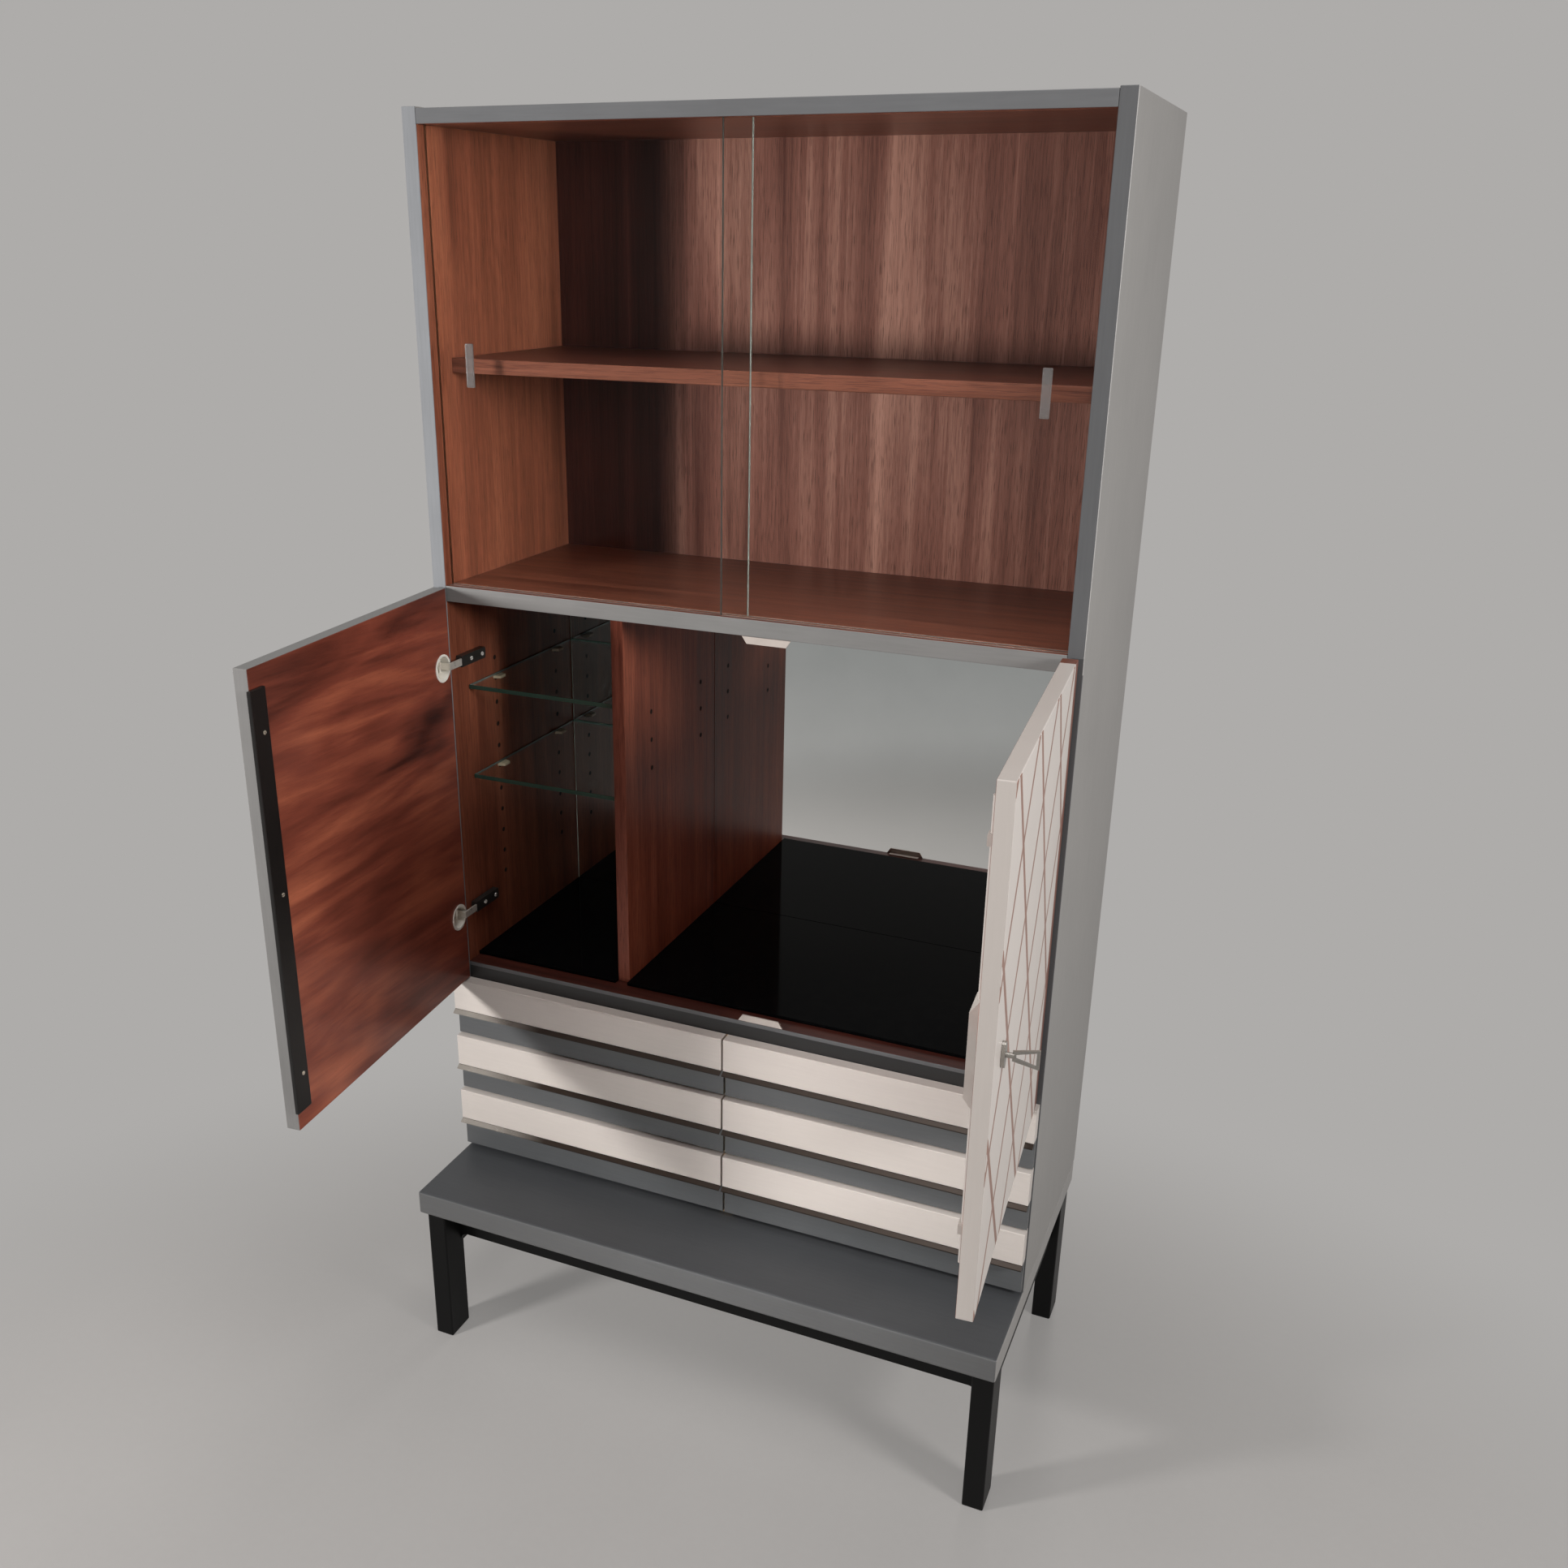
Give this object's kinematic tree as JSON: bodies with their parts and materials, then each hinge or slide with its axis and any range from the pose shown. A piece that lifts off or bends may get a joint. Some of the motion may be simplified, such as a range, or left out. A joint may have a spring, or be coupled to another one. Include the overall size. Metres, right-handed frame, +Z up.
{
  "type": "bar cabinet",
  "caption": "Upright bar cabinet on a black frame: glazed vitrine with sliding panes, mirrored bar behind hinged doors with a rod lock, and drawers with metal pull strips below.",
  "frame": {"origin": "on the floor, in the middle of the outer box with the doors as pictured", "axes": "+Z up, front faces -Y, +X to the right seen from the front"},
  "size_m": [0.9627, 0.8043, 1.78],
  "materials": {
    "grey_paint": "satin grey paint",
    "dark_grey_paint": "satin dark grey paint",
    "white_paint": "satin off-white paint",
    "black_paint": "satin black paint",
    "mahogany": "polished mahogany",
    "mahogany_dark": "polished dark mahogany",
    "pale_wood": "plain pale wood",
    "clear_glass": "clear",
    "black_glass": "polished black",
    "mirror_silver": "mirror",
    "clear_plastic": "clear",
    "dull_steel": "dull",
    "bronze_strip": "brown bronze",
    "cream_plastic": "off-white"
  },
  "bodies": {
    "carcass": {"plinth_board": "dark_grey_paint", "base_frame_left": "black_paint", "base_frame_right": "black_paint", "front_apron": "black_paint", "rear_apron": "black_paint", "side_left": "grey_paint", "side_right": "grey_paint", "top_panel": "grey_paint", "middle_panel": "grey_paint", "bar_floor": "mahogany", "back_panel": "mahogany_dark", "divider_panel": "mahogany", "drawer_partition": "pale_wood", "vitrine_shelf": "mahogany", "bar_mirror": "mirror_silver", "floor_glass_left": "black_glass", "floor_glass_right": "black_glass", "glass_shelf_lower": "clear_glass", "glass_shelf_upper": "clear_glass", "keeper_lower": "cream_plastic", "keeper_upper": "cream_plastic", "hinge_arm_left_lower": "dull_steel", "hinge_arm_left_upper": "dull_steel", "hinge_arm_right_lower": "dull_steel", "hinge_arm_right_upper": "dull_steel"},
    "left_pane": {"glass_pane_left": "clear_glass", "pane_pull_left": "clear_plastic"},
    "right_pane": {"glass_pane_right": "clear_glass", "pane_pull_right": "clear_plastic"},
    "left_door": {"door_left": "grey_paint", "overlap_strip": "black_paint", "hinge_cup_left_lower": "cream_plastic", "hinge_cup_left_upper": "cream_plastic"},
    "right_door": {"door_right": "white_paint", "hinge_cup_right_lower": "cream_plastic", "hinge_cup_right_upper": "cream_plastic", "lock_case": "cream_plastic", "key_plate": "dull_steel"},
    "key": {"lock_key": "dull_steel"},
    "lower_rod": {"lock_rod_lower": "dull_steel"},
    "upper_rod": {"lock_rod_upper": "dull_steel"},
    "drawer_left_upper": {"drawer_front_left_upper": "white_paint", "drawer_box_left_upper": "pale_wood", "drawer_pull_left_upper": "bronze_strip"},
    "drawer_left_middle": {"drawer_front_left_middle": "white_paint", "drawer_box_left_middle": "pale_wood", "drawer_pull_left_middle": "bronze_strip"},
    "drawer_left_lower": {"drawer_front_left_lower": "white_paint", "drawer_box_left_lower": "pale_wood", "drawer_pull_left_lower": "bronze_strip"},
    "drawer_right_upper": {"drawer_front_right_upper": "white_paint", "drawer_box_right_upper": "pale_wood", "drawer_pull_right_upper": "bronze_strip"},
    "drawer_right_middle": {"drawer_front_right_middle": "white_paint", "drawer_box_right_middle": "pale_wood", "drawer_pull_right_middle": "bronze_strip"},
    "drawer_right_lower": {"drawer_front_right_lower": "white_paint", "drawer_box_right_lower": "pale_wood", "drawer_pull_right_lower": "bronze_strip"}
  },
  "joints": [
    {"name": "left_door_hinge", "type": "hinge", "parent": "carcass", "child": "left_door", "pos_m": [-0.46882, 0.03723, 0.5805], "axis": [0, 0, 1], "range_deg": [-14.8, 85.2]},
    {"name": "right_door_hinge", "type": "hinge", "parent": "carcass", "child": "right_door", "pos_m": [0.40618, 0.03723, 0.5805], "axis": [0, 0, 1], "range_deg": [-94.4, 5.6]},
    {"name": "key_turn", "type": "hinge", "parent": "right_door", "child": "key", "pos_m": [0.43595, -0.34963, 0.875], "axis": [-0.9971, -0.0767, 0], "range_deg": [0, 90]},
    {"name": "upper_rod_slide", "type": "slide", "parent": "right_door", "child": "upper_rod", "axis": [0, 0, 1], "range_m": [0, 0.008]},
    {"name": "lower_rod_slide", "type": "slide", "parent": "right_door", "child": "lower_rod", "axis": [0, 0, -1], "range_m": [0, 0.008]},
    {"name": "left_pane_slide", "type": "slide", "parent": "carcass", "child": "left_pane", "axis": [1, 0, 0], "range_m": [0, 0.41]},
    {"name": "right_pane_slide", "type": "slide", "parent": "carcass", "child": "right_pane", "axis": [-1, 0, 0], "range_m": [0, 0.41]},
    {"name": "drawer_left_upper_slide", "type": "slide", "parent": "carcass", "child": "drawer_left_upper", "axis": [0, -1, 0], "range_m": [0, 0.25]},
    {"name": "drawer_left_middle_slide", "type": "slide", "parent": "carcass", "child": "drawer_left_middle", "axis": [0, -1, 0], "range_m": [0, 0.25]},
    {"name": "drawer_left_lower_slide", "type": "slide", "parent": "carcass", "child": "drawer_left_lower", "axis": [0, -1, 0], "range_m": [0, 0.25]},
    {"name": "drawer_right_upper_slide", "type": "slide", "parent": "carcass", "child": "drawer_right_upper", "axis": [0, -1, 0], "range_m": [0, 0.25]},
    {"name": "drawer_right_middle_slide", "type": "slide", "parent": "carcass", "child": "drawer_right_middle", "axis": [0, -1, 0], "range_m": [0, 0.25]},
    {"name": "drawer_right_lower_slide", "type": "slide", "parent": "carcass", "child": "drawer_right_lower", "axis": [0, -1, 0], "range_m": [0, 0.25]}
  ],
  "couplings": [
    {"joint": "upper_rod_slide", "follows": "key_turn", "m_per_rad": 0.0050929},
    {"joint": "lower_rod_slide", "follows": "key_turn", "m_per_rad": 0.0050929}
  ]
}
